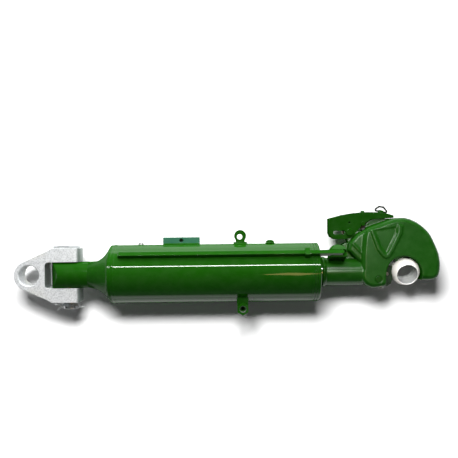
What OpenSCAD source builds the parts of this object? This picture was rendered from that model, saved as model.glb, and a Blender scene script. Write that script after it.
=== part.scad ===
// Hydraulic top link: cylinder with a forked tractor end and a latching hook.
// Lies on its side: +X from the tractor eye to the hook, +Z up, the origin in the eye bore.

/* [Cylinder] */
// Travel of the piston rod between closed and fully out
stroke = 240; // [180:10:280]
// Outside diameter of the barrel tube
barrel_od = 130; // [128:1:134]
// Wall thickness of the barrel tube
tube_wall = 10; // [8:0.5:11]
// Diameter of the chromed piston rod
rod_dia = 60; // [54:1:60]
// Length of the piston along the bore
piston_len = 40; // [36:1:46]
// Length of the gland head inside the tube
gland_len = 58; // [52:1:64]

/* [Yoke] */
// Bore of the tractor eye
eye_bore = 45; // [38:0.5:46]
// Outer radius of the lug round the eye
eye_lug_r = 33; // [31:0.5:35]
// Thickness of the yoke
yoke_thick = 50; // [44:1:54]
// Distance from the eye to the pivot pin
pivot_x = 88; // [86:1:90]
// Distance across the outer faces of the yoke arms
yoke_width = 121; // [117:1:125]
// Diameter of the pivot pin
pin_dia = 30; // [26:1:32]
// Width of the neck between the arms
neck_width = 56.8; // [54:0.2:57.4]

/* [Hook] */
// Diameter of the loose ball
ball_dia = 64; // [62:0.5:64]
// Bore of the ball for the implement pin
ball_bore = 45; // [37:0.5:46]
// Width of the ball between its flat faces
ball_width = 43; // [40:0.5:44]
// Tilt of the ball about the link axis as it lies
ball_tilt = 20; // [0:1:24]
// Thickness of the hook forging
hook_thick = 66; // [62:1:70]
// Diameter of the hook shank
shank_dia = 62; // [61:0.5:64]
// Thickness of the latch pawl
pawl_thick = 20; // [16:0.5:21]

/* [Key bar] */
// Side of the square key bar
bar_side = 10; // [8:0.5:11]
// Angle of the key bar up the shoulder of the barrel
bar_angle = 39; // [36:0.5:42]

/* [Hidden] */
$fn = 64;
run_gap = 0.05;
fit_gap = 0.03;
free_gap = 0.4;
seat_gap = 0.02;
barrel_r = barrel_od / 2;
bore_r = barrel_r - tube_wall;
rod_r = rod_dia / 2;
neck_half = neck_width / 2;
fork_half = neck_half + 0.6;
arm_half = yoke_width / 2;
pin_r = pin_dia / 2;
bush_r = pin_r + 4;
stud_r = pin_r - 3;
eye_r = eye_bore / 2;
shoulder_x = 181;
tube_x0 = 190;
nose_x = 251.4;
nut_x0 = nose_x + 0.6;
piston_x0 = nut_x0 + 20;
piston_x1 = piston_x0 + piston_len;
gland_x0 = piston_x1 + stroke + 14;
tube_x1 = gland_x0 + gland_len;
gland_x1 = tube_x1 + 19;
shank_x0 = gland_x1 + 5;
ball_x = shank_x0 + 190.8;
ball_r = ball_dia / 2;
seat_r = ball_r + free_gap;
hook_half = hook_thick / 2;
shank_r = shank_dia / 2;
stem_r = rod_r - 9;
bar_r0 = barrel_r + free_gap;
port_x = 472.5;
port_y = -barrel_r - 5;
elbow_y = port_y - 6.3;
port_z = barrel_r - 39;
pipe_r = 5;
pipe_angle = -125;
pipe_y = (barrel_r + 6.1) * sin(pipe_angle);
pipe_z = (barrel_r + 6.1) * cos(pipe_angle);
base_port_x = nose_x - 8.4;
bar_x0 = 203;
bar_x1 = ball_x - 145.8;
lever_pin_r = 6;
pawl_pin_r = 7;
link_pin_r = 5;
knee_pin_r = 4;
ring_wire_r = 2;
ring_bend = 2.4;
// Corners of the rope ring in its own tilted place; the first two lie on its hinge line
ring_p = [[-16.5, 2.4], [16.5, 2.4], [3.5, 13.4], [-6.5, 12.8]];
// Latch pivots, measured from the ball centre
lever_p = [-126.8, 88];
pawl_p = [-66.8, -16.5];
lever_l = lever_p + 36 * [cos(32), sin(32)];
pawl_l = pawl_p + 26 * [cos(24), sin(24)];

// Round bar or bore along X
module xcyl(r, x0, x1, y = 0, z = 0) {
    translate([x0, y, z]) rotate([0, 90, 0]) cylinder(h = x1 - x0, r = r);
}

// Round bar or bore along Y
module ycyl(r, y0, y1, x = 0, z = 0) {
    translate([x, y0, z]) rotate([-90, 0, 0]) cylinder(h = y1 - y0, r = r);
}

// Round bar or bore along Z
module zcyl(r, half, x = 0, y = 0) {
    translate([x, y, -half]) cylinder(h = 2 * half, r = r);
}

// Ring along X between two radii
module xring(r_out, r_in, x0, x1) {
    difference() {
        xcyl(r_out, x0, x1);
        xcyl(r_in, x0 - 1, x1 + 1);
    }
}

// Block given by its lower and upper corner
module block(a, b) {
    translate(a) cube(b - a);
}

// Flat plate of an outline, centred on Z = 0
module plate(half) {
    translate([0, 0, -half]) linear_extrude(2 * half) children();
}

// Local Z points outwards from the barrel axis at an angle up from +Z towards +Y
module on_barrel(x, angle) {
    translate([x, 0, 0]) rotate([-angle, 0, 0]) children();
}

// Hexagonal prism along Z
module hex(across, h) {
    rotate(30) cylinder(h = h, r = across / sqrt(3), $fn = 6);
}

// Moves hook parts from the ball centre to their place
module at_hook() {
    translate([ball_x, 0, 0]) children();
}

// Moves ring parts from the foot of the ring's eyelet to their place on the lever's roof
module at_ring() {
    translate([-53, 130.9, 0]) rotate([0, 0, -11.5]) children();
}

// Cylinder body

module barrel_tube() {
    color([0.1, 0.35, 0.1])
    difference() {
        xcyl(barrel_r, tube_x0, tube_x1);
        xcyl(bore_r, tube_x0 - 1, tube_x1 + 1);
        on_barrel(base_port_x, 112) cylinder(h = barrel_r + 5, r = 5);
        on_barrel(gland_x0 - 7, pipe_angle) cylinder(h = barrel_r + 5, r = 3);
        ycyl(5, barrel_r - 7, barrel_r + 5, gland_x0 - 30);
    }
}

module neck_forging() {
    flare = 43;
    color([0.1, 0.35, 0.1])
    difference() {
        union() {
            intersection() {
                xcyl(34, pivot_x - 45, 150);
                union() {
                    ycyl(41, -60, 60, pivot_x);
                    block([pivot_x, -60, -60], [151, 60, 60]);
                }
            }
            translate([130, 0, 0]) rotate([0, 90, 0]) cylinder(h = 46, r1 = 33.5, r2 = barrel_r - 4);
            translate([176, 0, 0]) rotate([0, 90, 0]) cylinder(h = 4, r1 = barrel_r - 4, r2 = barrel_r);
            xcyl(barrel_r, 180, tube_x0 - fit_gap);
            xcyl(bore_r - fit_gap, tube_x0 - 1, nose_x - 15.4);
            xcyl(bore_r - 22, nose_x - 16.4, nose_x);
        }
        for (s = [-1, 1]) {
            block([pivot_x - 60, s > 0 ? neck_half : -90, -60],
                [shoulder_x - flare + 0.5, s > 0 ? 90 : -neck_half, 60]);
            zcyl(flare, 60, shoulder_x - flare + 0.5, s * (neck_half + flare));
        }
        ycyl(bush_r, -60, 60, pivot_x);
        on_barrel(pivot_x + 34, 180) cylinder(h = 40, r = 3);
    }
}

module neck_bush() {
    color([0.7, 0.55, 0.25])
    difference() {
        ycyl(bush_r - fit_gap, -neck_half, neck_half, pivot_x);
        ycyl(pin_r + run_gap, -60, 60, pivot_x);
    }
}

module base_weld() {
    color([0.12, 0.38, 0.12])
    translate([tube_x0, 0, 0]) rotate([0, 90, 0]) rotate_extrude()
    polygon([[barrel_r + fit_gap, -4], [barrel_r + 0.35, -2.5], [barrel_r + 0.5, 0],
        [barrel_r + 0.35, 2.5], [barrel_r + fit_gap, 4]]);
}

module gland_head() {
    color([0.1, 0.33, 0.1])
    difference() {
        union() {
            xcyl(bore_r - 10, gland_x0 - 12, gland_x0 + 1);
            xcyl(bore_r - fit_gap, gland_x0, tube_x1 + 1);
            xcyl(barrel_r, tube_x1 + 0.2, gland_x1 - 2);
            translate([gland_x1 - 2, 0, 0]) rotate([0, 90, 0])
                cylinder(h = 2, r1 = barrel_r, r2 = barrel_r - 2);
        }
        xcyl(rod_r + 0.3, gland_x0 - 20, gland_x1 + 1);
        xcyl(rod_r + 3, gland_x0 + 6, gland_x0 + 24);
        xcyl(rod_r + 7, gland_x0 + 32, gland_x0 + 42);
        xcyl(rod_r + 6, gland_x1 - 10, gland_x1 - 3);
        xring(bore_r + 2, bore_r - 4, gland_x0 + 26, gland_x0 + 31);
        for (x = [5, 10.5]) xring(barrel_r + 2, barrel_r - 1.6, tube_x1 + x, tube_x1 + x + 2);
    }
}

module gland_oring() {
    color([0.05, 0.05, 0.05])
    translate([gland_x0 + 28.5, 0, 0]) rotate([0, 90, 0])
    rotate_extrude() translate([bore_r - 2.05, 0]) circle(r = 1.9, $fn = 24);
}

module rod_seal() {
    color([0.1, 0.2, 0.5])
    xring(rod_r + 7 - fit_gap, rod_r + run_gap, gland_x0 + 32.2, gland_x0 + 41.8);
}

module rod_wiper() {
    color([0.08, 0.08, 0.08])
    xring(rod_r + 6 - fit_gap, rod_r + run_gap, gland_x1 - 9.8, gland_x1 - 3.2);
}

module rod_guide_ring() {
    color([0.45, 0.3, 0.12])
    xring(rod_r + 3 - fit_gap, rod_r + run_gap, gland_x0 + 6.2, gland_x0 + 23.8);
}

module hose_tab() {
    tab_x = 337;
    color([0.1, 0.4, 0.15])
    difference() {
        block([tab_x - 41, barrel_r - 9, -12], [tab_x + 41, barrel_r + 16, 4]);
        translate([tab_x, barrel_r + 8.5, -7]) cylinder(h = 20, r = 4.5);
        xcyl(barrel_r + seat_gap, tab_x - 60, tab_x + 60);
    }
}

module ring_lug() {
    lug_x = 469;
    color([0.1, 0.35, 0.1])
    difference() {
        union() {
            zcyl(13.5, 5, lug_x, barrel_r + 17.5);
            block([lug_x - 10, barrel_r - 6, -5], [lug_x + 10, barrel_r + 12, 5]);
            block([lug_x - 15, barrel_r - 6, -9], [lug_x + 15, barrel_r + 4, 9]);
        }
        zcyl(6, 20, lug_x - 1, barrel_r + 15.5);
        xcyl(barrel_r + seat_gap, lug_x - 60, lug_x + 60);
    }
}

module top_screw() {
    color([0.12, 0.4, 0.12])
    translate([gland_x0 - 30, 0, 0]) rotate([-90, 0, 0]) union() {
        translate([0, 0, barrel_r - 6]) cylinder(h = 7, r = 5 - fit_gap);
        translate([0, 0, barrel_r + 0.1]) cylinder(h = 2.5, r = 10.5);
        translate([0, 0, barrel_r + 2.3]) hex(17, 4.2);
        translate([0, 0, barrel_r + 6.2]) cylinder(h = 1.9, r1 = 6.6, r2 = 4.6);
    }
}

module base_port_plug() {
    color([0.55, 0.55, 0.55])
    on_barrel(base_port_x, 112) difference() {
        union() {
            translate([0, 0, barrel_r - 9]) cylinder(h = 10, r = 5 - fit_gap);
            translate([0, 0, barrel_r + 0.6]) cylinder(h = 6, r = 8);
        }
        translate([0, 0, barrel_r + 3]) hex(6, 5);
    }
}

module port_saddle() {
    color([0.08, 0.28, 0.08])
    difference() {
        block([port_x - 12, port_y, pipe_z - 9], [port_x + 12, -barrel_r + 27, port_z + 12]);
        xcyl(barrel_r + seat_gap, port_x - 60, port_x + 60);
        ycyl(5, port_y - 15, -barrel_r + 3, port_x, port_z);
        block([port_x - 4, -barrel_r - 2.4, pipe_z - 1], [port_x + 4, -barrel_r + 8, 18]);
        block([port_x - 4, -barrel_r - 0.4, 17], [port_x + 4, -barrel_r + 8, port_z]);
        translate([port_x, elbow_y, port_z]) sphere(r = 9.9);
        translate([port_x, elbow_y, port_z]) cylinder(h = 20, r = 9.9);
        xcyl(pipe_r - 2, port_x, port_x + 20, pipe_y, pipe_z);
        xcyl(pipe_r + 0.1, port_x + 8, port_x + 20, pipe_y, pipe_z);
    }
}

module elbow_fitting() {
    neck_r = 9.5;
    color([0.1, 0.32, 0.1])
    difference() {
        union() {
            ycyl(5 - fit_gap, elbow_y, port_y + 7, port_x, port_z);
            translate([port_x, elbow_y, port_z]) sphere(r = neck_r);
            translate([port_x, elbow_y, port_z]) cylinder(h = 13, r = neck_r);
            translate([port_x, elbow_y, port_z + 12.4]) hex(23.5, 11.6);
        }
        ycyl(3.5, elbow_y, port_y + 10, port_x, port_z);
        translate([port_x, elbow_y, port_z - 2]) cylinder(h = 40, r = 3.5);
        translate([port_x, elbow_y, port_z + 14]) cylinder(h = 20, r = 7);
    }
}

module oil_pipe() {
    color([0.12, 0.38, 0.12])
    difference() {
        xcyl(pipe_r, port_x + 8.5, gland_x0 - 10, pipe_y, pipe_z);
        xcyl(pipe_r - 2, port_x + 7, gland_x0 - 8, pipe_y, pipe_z);
    }
}

module rod_end_boss() {
    color([0.1, 0.33, 0.1])
    difference() {
        on_barrel(gland_x0 - 7, pipe_angle) translate([-11, -9, barrel_r - 3]) cube([20, 18, 16]);
        xcyl(barrel_r + seat_gap, gland_x0 - 60, gland_x0 + 60);
        xcyl(pipe_r + 0.1, gland_x0 - 20, gland_x0 - 9.8, pipe_y, pipe_z);
        on_barrel(gland_x0 - 7, pipe_angle) cylinder(h = barrel_r + 8, r = 3);
    }
}

module bar_clip() {
    cx = tube_x1 - 16;
    color([0.12, 0.38, 0.12])
    difference() {
        on_barrel(cx, bar_angle) translate([0, -bar_side / 2 - 4, barrel_r - 4])
            cube([11, bar_side + 8, bar_side + 7.2]);
        on_barrel(cx, bar_angle) translate([-5, -bar_side / 2 - 0.35, barrel_r - 6])
            cube([40, bar_side + 0.7, bar_side + 6.8]);
        xcyl(barrel_r + seat_gap, cx - 10, cx + 40);
    }
}

module grease_nipple() {
    color([0.75, 0.7, 0.45])
    on_barrel(pivot_x + 34, 180) difference() {
        union() {
            translate([0, 0, 29]) cylinder(h = 6, r = 3 - fit_gap);
            translate([0, 0, 34.2]) hex(9, 3);
            translate([0, 0, 37]) cylinder(h = 4, r1 = 3.6, r2 = 2.4);
            translate([0, 0, 42]) sphere(r = 2.9, $fn = 32);
        }
        translate([0, 0, 20]) cylinder(h = 30, r = 0.8);
    }
}

// Yoke body

// Tangent point on the eye lug of the line that starts at p
function tangent_point(p, r) =
    let (d = norm(p), a = atan2(p[1], p[0]) + acos(r / d)) r * [cos(a), sin(a)];

module yoke_outline() {
    flank = [pivot_x - 41, arm_half - 3];
    t = tangent_point(flank, eye_lug_r - 0.2);
    difference() {
        polygon([t, flank, [flank[0] + 2, arm_half], [pivot_x + 22, arm_half],
            [pivot_x + 24, arm_half - 2], [pivot_x + 24, -arm_half + 2],
            [pivot_x + 22, -arm_half], [flank[0] + 2, -arm_half], [flank[0], -flank[1]],
            [t[0], -t[1]]]);
        translate([pivot_x - 44, -fork_half]) square([90, 2 * fork_half]);
        translate([pivot_x - 52, 8 - fork_half]) square([90, 2 * fork_half - 16]);
        for (s = [-1, 1]) translate([pivot_x - 44, s * (fork_half - 8)]) circle(r = 8);
    }
}

module yoke_fork() {
    half = yoke_thick / 2;
    color([0.75, 0.76, 0.74])
    difference() {
        union() {
            zcyl(eye_lug_r, half);
            intersection() {
                plate(half) yoke_outline();
                rotate([90, 0, 0]) plate(90) polygon([[-60, -half - 3], [pivot_x + 5, -half - 3],
                    [pivot_x + 18.5, 1.5 - half], [pivot_x + 22, 5 - half], [pivot_x + 24.5, 11 - half],
                    [pivot_x + 24.5, half - 11], [pivot_x + 22, half - 5], [pivot_x + 18.5, half - 1.5],
                    [pivot_x + 5, half + 3], [-60, half + 3]]);
            }
        }
        zcyl(eye_r, 60);
        for (m = [0, 1]) mirror([0, 0, m])
            translate([0, 0, half - 1.5]) cylinder(h = 2, r1 = eye_r, r2 = eye_r + 2);
        ycyl(pin_r + fit_gap, 0, 90, pivot_x);
        ycyl(pin_r + fit_gap, -90, 0, pivot_x);
    }
}

module pivot_pin() {
    color([0.72, 0.73, 0.72])
    difference() {
        union() {
            ycyl(pin_r, 1 - arm_half, arm_half + 1, pivot_x);
            ycyl(stud_r, -arm_half - 15.5, 2 - arm_half, pivot_x);
            intersection() {
                union() {
                    ycyl(21, arm_half + 0.1, arm_half + 8, pivot_x);
                    ycyl(21, arm_half + 0.1, arm_half + 8, pivot_x - 18);
                    block([pivot_x - 18, arm_half + 0.1, -21], [pivot_x, arm_half + 8, 21]);
                }
                translate([pivot_x - 9.5, arm_half + 6.5 - 150, 0]) sphere(r = 150, $fn = 128);
            }
        }
        xcyl(2.2, pivot_x - 30, pivot_x + 30, -arm_half - 11);
    }
}

module pin_washer() {
    color([0.7, 0.71, 0.7])
    difference() {
        ycyl(22, -arm_half - 2.6, -arm_half - 0.1, pivot_x);
        ycyl(stud_r + 0.3, -90, 0, pivot_x);
    }
}

module castle_nut() {
    color([0.66, 0.67, 0.66])
    difference() {
        translate([pivot_x, -arm_half - 2.7, 0]) rotate([90, 0, 0]) union() {
            hex(2 * stud_r + 12, 6);
            cylinder(h = 11.5, r = stud_r + 5.2);
        }
        ycyl(stud_r + fit_gap, -90, 0, pivot_x);
        for (a = [0, 60, 120]) translate([pivot_x, -arm_half - 14.3, 0]) rotate([0, a, 0])
            translate([-30, -1, -2.6]) cube([60, 6.5, 5.2]);
    }
}

module split_pin() {
    eye_x = stud_r + 12.5;
    color([0.78, 0.78, 0.76])
    translate([pivot_x, -arm_half - 11, 0]) union() {
        xcyl(2, -21, eye_x - 3);
        translate([eye_x, 0, 0]) rotate([90, 0, 0]) rotate_extrude()
            translate([4.2, 0]) circle(r = 1.9, $fn = 24);
        for (s = [-1, 1]) translate([-21, 0, 0]) {
            sphere(r = 2, $fn = 32);
            rotate([0, 0, 180 + s * 30]) xcyl(1.6, 0, 16);
        }
    }
}

// Rod body

module piston_rod() {
    color([0.82, 0.83, 0.85])
    difference() {
        union() {
            xcyl(stem_r, nut_x0, piston_x1 + 1);
            xcyl(rod_r, piston_x1, shank_x0 + 2);
            xcyl(22, shank_x0, shank_x0 + 55);
        }
        xring(stem_r + 2, stem_r - 3, piston_x0 + 18, piston_x0 + 22);
    }
}

module piston() {
    color([0.5, 0.5, 0.5])
    difference() {
        xcyl(bore_r - 0.4, piston_x0, piston_x1 - fit_gap);
        xcyl(stem_r + fit_gap, piston_x0 - 5, piston_x1 + 5);
        xring(bore_r + 2, bore_r - 6, piston_x0 + 15, piston_x0 + 25);
        for (x = [3, piston_len - 11])
            xring(bore_r + 2, bore_r - 3.5, piston_x0 + x, piston_x0 + x + 8);
    }
}

module piston_seal() {
    color([0.1, 0.2, 0.5])
    xring(bore_r - run_gap, bore_r - 6 + fit_gap, piston_x0 + 15.2, piston_x0 + 24.8);
}

module piston_rings() {
    color([0.45, 0.3, 0.12])
    for (x = [3.1, piston_len - 10.9])
        xring(bore_r - run_gap, bore_r - 3.5 + fit_gap, piston_x0 + x, piston_x0 + x + 7.8);
}

module stem_oring() {
    color([0.05, 0.05, 0.05])
    translate([piston_x0 + 20, 0, 0]) rotate([0, 90, 0])
    rotate_extrude() translate([stem_r - 1.5, 0]) circle(r = 1.45, $fn = 24);
}

module piston_nut() {
    color([0.45, 0.45, 0.47])
    difference() {
        translate([nut_x0, 0, 0]) rotate([0, 90, 0]) hex(2 * stem_r + 22, piston_x0 - nut_x0);
        xcyl(stem_r + fit_gap, nut_x0 - 5, piston_x0 + 5);
    }
}

// Smooth closed curve through the given points
function curve(p, n) = [for (i = [0 : len(p) - 1], k = [0 : n - 1])
    let (m = len(p), t = k / n, a = p[(i + m - 1) % m], b = p[i], c = p[(i + 1) % m],
        d = p[(i + 2) % m])
    0.5 * (2 * b + (c - a) * t + (2 * a - 5 * b + 4 * c - d) * t * t
        + (3 * b - a - 3 * c + d) * t * t * t)];

// Rounded slab: full outline in the middle, drawn in towards both faces
module slab(half, round) {
    hull() {
        plate(half - round) children();
        plate(half - 0.4 * round) offset(delta = -0.3 * round) children();
        plate(half) offset(delta = -0.9 * round) children();
    }
}

module hook_crown() {
    polygon(curve([[-104, 0], [-103, 50], [-95, 92], [-64, 105], [-33, 116.5], [-6, 118.5],
        [16, 111], [33, 99.5], [48, 84], [59, 63], [68, 39], [71.5, 15], [68, -8], [58, -18],
        [40, -20], [27, -18], [-50, -17], [-95, -14]], 4));
}

module hook_mouth() {
    difference() {
        union() {
            zcyl(ball_r + 7.3, 60, -10.1, -5);
            block([-49.4, -90, -60], [29.2, -5, 60]);
        }
        block([-24, 0, -11], [60, 60, 11]);
    }
    sphere(r = seat_r, $fn = 96);
    ycyl(seat_r, -90, 0);
}

module latch_pocket() {
    plate(pawl_thick / 2 + 0.6) {
        translate(pawl_p) circle(r = 14.6);
        polygon([[-78.8, -16.5], [-62.8, -30.6], [-35.3, -22], [-8.8, -14], [-8.8, 30], [-48.8, 32],
            [-70.8, 18], [-81.8, -10]]);
    }
    plate(6.7) polygon([pawl_l + [18, 0], lever_l + [17, 26], lever_l + [-24, 26],
        pawl_l + [-30, 20], pawl_l + [-22, 0]]);
}

module hook_forging() {
    color([0.1, 0.36, 0.1])
    at_hook() difference() {
        union() {
            xcyl(shank_r, shank_x0 - ball_x, -90);
            slab(hook_half, 10) hook_crown();
            slab(hook_half - 6, 6) polygon([[-131, 47], [-128.5, 64], [-121.5, 72.5], [-112, 82],
                [-95, 93], [-60, 60], [-90, 25], [-105, 20]]);
            slab(hook_half, 9) union() {
                translate([-75.5, -5.5]) circle(r = 30.5);
                translate([-56, -21]) circle(r = 12);
            }
            plate(11.4) {
                translate(lever_p) circle(r = 12);
                polygon([lever_p + [-11, -5], lever_p + [-2, -24], [-100, 60], [-104, 92],
                    lever_p + [10.5, 6]]);
                polygon([[-128.8, 64], [-135, 65], [-142.5, 61.5], [-141, 48], [-137.5, 31],
                    [-137.5, 20], [-100, 10], [-100, 60]]);
            }
            plate(9.6) polygon([[-90.3, 80], [-90.3, 104], [-88.5, 107], [-80, 114.5], [-70, 119],
                [-60, 120.8], [-49, 121.2], [-47.5, 117.6], [-40, 117.7], [-22, 118], [-22, 90], [-60, 60]]);
            for (s = [0, 1]) mirror([0, 0, s]) translate([0, 0, hook_half - 1]) linear_extrude(3)
                difference() {
                    polygon([[-84, 92], [-69, 50], [-57, 34], [-50, 30], [-42, 34], [-32, 50],
                        [-15, 84], [-13, 100], [-20, 103], [-60, 96]]);
                    polygon([[-80, 99], [-62, 52], [-53.5, 41], [-50, 38.5], [-46, 41], [-39, 53],
                        [-23, 86], [-22, 110], [-60, 105]]);
                }
            for (s = [0, 1]) mirror([0, 0, s]) translate([0, 0, hook_half - 7]) linear_extrude(2.4)
                polygon([[-124, 63], [-121, 65.5], [-101.5, 44], [-97, 47], [-95.5, 44.5],
                    [-102, 39.5]]);
        }
        for (s = [0, 1]) mirror([0, 0, s]) translate([0, 0, hook_half - 1.2]) linear_extrude(8)
            polygon([[-76, 93], [-62, 56], [-53.5, 44], [-50, 41.5], [-46, 44], [-41, 56],
                [-26, 86], [-27, 99], [-60, 94]]);
        hook_mouth();
        latch_pocket();
        plate(6.8) translate(lever_p) circle(r = 15);
        zcyl(lever_pin_r + fit_gap, 60, lever_p[0], lever_p[1]);
        zcyl(pawl_pin_r + fit_gap, 60, pawl_p[0], pawl_p[1]);
        xcyl(22 + fit_gap, shank_x0 - ball_x - 5, shank_x0 - ball_x + 56);
        xcyl(rod_r + 0.1, shank_x0 - ball_x - 5, shank_x0 - ball_x + 2);
        ycyl(3, -60, -20, -54.5);
        ycyl(5.2, -60, -31.4, -54.5);
    }
}

module shank_weld() {
    color([0.12, 0.38, 0.12])
    translate([shank_x0, 0, 0]) rotate([0, 90, 0]) rotate_extrude()
    polygon([[shank_r + fit_gap, 1], [shank_r + 1.6, 2.2], [shank_r + 2.4, 5],
        [shank_r + 1.8, 8.5], [shank_r + fit_gap, 11]]);
}

module key_bar() {
    color([0.14, 0.4, 0.14])
    on_barrel(0, bar_angle) difference() {
        union() {
            translate([bar_x0, -bar_side / 2, bar_r0]) cube([bar_x1 - 5 - bar_x0, bar_side, bar_side]);
            translate([bar_x1 - 5, 0, bar_r0]) cylinder(h = bar_side, r = bar_side / 2);
        }
        translate([bar_x0 - 1, -bar_side, bar_r0 + bar_side])
            rotate([0, 45, 0]) cube([2, 2 * bar_side, 2], center = false);
    }
}

module bar_lug() {
    lx = bar_x1 - 11.5;
    color([0.16, 0.44, 0.16])
    difference() {
        intersection() {
            union() {
                zcyl(18, 90, lx, 43.5);
                block([lx - 18, 0, -90], [lx + 18, 43.5, 90]);
            }
            translate([lx - 40, 0, 0]) rotate([90, 0, 90]) linear_extrude(80)
                polygon([[23.5, 17.5], [30, 6], [50, 22], [62, 33], [62, 44], [57, 50],
                    [50, 58], [35, 56], [30.5, 38], [27.5, 25]]);
        }
        xcyl(shank_r + fit_gap, lx - 60, lx + 60);
        on_barrel(0, bar_angle) translate([lx - 60, -bar_side / 2 - fit_gap, bar_r0 - fit_gap])
            cube([120, bar_side + 2 * fit_gap, 40]);
        on_barrel(0, bar_angle) translate([lx - 60, -60, bar_r0 + 4]) cube([120, 60, 40]);
    }
}

module lever_pin() {
    color([0.6, 0.6, 0.6])
    at_hook() translate(lever_p) {
        zcyl(lever_pin_r, 18.5);
        for (m = [0, 1]) mirror([0, 0, m]) translate([0, 0, 17]) 
            cylinder(h = 2.5, r1 = lever_pin_r + 2.5, r2 = lever_pin_r + 1.5);
    }
}

module pawl_pin() {
    color([0.6, 0.6, 0.6])
    at_hook() translate(pawl_p) zcyl(pawl_pin_r, hook_half + 0.6);
}

module stop_screw() {
    color([0.85, 0.85, 0.85])
    at_hook() translate([-54.5, 0, 0]) {
        ycyl(3 - fit_gap, -34, -28.4);
        ycyl(5, -39, -33.5);
    }
}

// Release lever and latch

module lever_outline() {
    polygon([[-171.8, 119], [-156, 123], [-141, 127], [-119, 130.5], [-94, 132.6], [-65, 132],
        [-45, 129.3], [-28, 124.5], [-28, 118.7], [-41, 118.2], [-79, 116], [-93, 107], [-102, 100],
        [-110, 90], [-117, 79.5], [-124, 75], [-137, 73], [-152, 72.5], [-162, 74], [-168.5, 79],
        [-171.8, 87]]);
}

module release_lever() {
    color([0.13, 0.4, 0.13])
    at_hook() difference() {
        union() {
            plate(16) difference() {
                lever_outline();
                offset(delta = -4) lever_outline();
                polygon([[-139, 60], [-139, 118], [-119, 124], [-94, 126.5], [-65, 126.5],
                    [-48, 123.5], [-45, 110], [-45, 60]]);
            }
            for (s = [0, 1]) mirror([0, 0, s]) translate([0, 0, 12]) linear_extrude(4) lever_outline();
            at_ring() {
                xcyl(3.4, -6, 5, ring_p[0][1]);
                block([-6, -3, -2.5], [5, 1.5, 2.5]);
            }
        }
        zcyl(lever_pin_r + run_gap, 60, lever_p[0], lever_p[1]);
        zcyl(link_pin_r + fit_gap, 60, lever_l[0], lever_l[1]);
        hull() {
            zcyl(4.4, 60, -158, 87.5);
            zcyl(4.4, 60, -140, 87.5);
        }
        at_ring() xcyl(ring_wire_r + 0.3, -27, 25, ring_p[0][1]);
        zcyl(1.8, 60, lever_p[0], lever_p[1] + 21.7);
        ycyl(3 + fit_gap, 110, 150, -94.5);
    }
}

module lever_spring() {
    wire = 1.25;
    color([0.3, 0.3, 0.32])
    at_hook() translate(lever_p) union() {
        rotate_extrude($fn = 40) for (i = [-2 : 2]) translate([12.4, i * 2.3])
            circle(r = wire, $fn = 14);
        translate([0, 12.4, 4.6]) rotate([0, 0, 155]) xcyl(wire - 0.05, 0, 37);
        translate([0, -12.4, -4.6]) rotate([0, 0, 18]) xcyl(wire - 0.05, 0, 8);
    }
}

module roof_rivet() {
    color([0.14, 0.42, 0.14])
    at_hook() translate([-94.5, 0, 0]) union() {
        ycyl(3, 126.5, 133.5);
        intersection() {
            ycyl(5, 132.7, 138);
            translate([0, 130.2, 0]) sphere(r = 6.2);
        }
    }
}

module lever_link_pin() {
    color([0.6, 0.6, 0.6])
    at_hook() translate(lever_l) zcyl(link_pin_r, 17.2);
}

module latch_link() {
    d = lever_l - pawl_l;
    color([0.4, 0.4, 0.42])
    at_hook() difference() {
        translate(pawl_l) rotate([0, 0, atan2(d[1], d[0])]) plate(5) {
            circle(r = 8);
            translate([norm(d), 0]) circle(r = 8.5);
            translate([0, -6.5]) square([norm(d), 13]);
        }
        zcyl(link_pin_r + run_gap, 60, lever_l[0], lever_l[1]);
        zcyl(knee_pin_r + 0.3, 60, pawl_l[0], pawl_l[1]);
    }
}

module latch_pawl() {
    color([0.2, 0.22, 0.2])
    at_hook() difference() {
        union() {
            zcyl(13, pawl_thick / 2, pawl_p[0], pawl_p[1]);
            plate(pawl_thick / 2) polygon([[-72, -9], [-56, 11.5], [-24, 11.5], [-24, -14.5], [-32.5, -21],
                [-34, -27], [-44, -33.5], [-47.5, -33.5], [-48.9, -25.4], [-62, -27]]);
        }
        zcyl(ball_r + 0.6, 60);
        plate(60) difference() {
            polygon([pawl_p, [0, 0], [0, -60], [pawl_p[0], -60]]);
            translate(pawl_p) circle(r = norm(pawl_p) - ball_r - 0.6);
        }
        zcyl(pawl_pin_r + run_gap, 60, pawl_p[0], pawl_p[1]);
        zcyl(knee_pin_r + fit_gap, 60, pawl_l[0], pawl_l[1]);
        plate(5.4) {
            translate(pawl_l) circle(r = 9.5);
            translate(pawl_l) rotate([0, 0, 60]) translate([0, -9.5]) square([40, 40]);
            translate(pawl_l) rotate([0, 0, 115]) translate([0, -9.5]) square([40, 19]);
        }
    }
}

module pawl_link_pin() {
    color([0.6, 0.6, 0.6])
    at_hook() translate(pawl_l) zcyl(knee_pin_r, pawl_thick / 2 - 0.2);
}

// Half the angle at corner b between a and c
function half_angle(a, b, c) = acos((a - b) * (c - b) / norm(a - b) / norm(c - b)) / 2;

// Unit vector from a to b
function unit(a, b) = (b - a) / norm(b - a);

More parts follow.
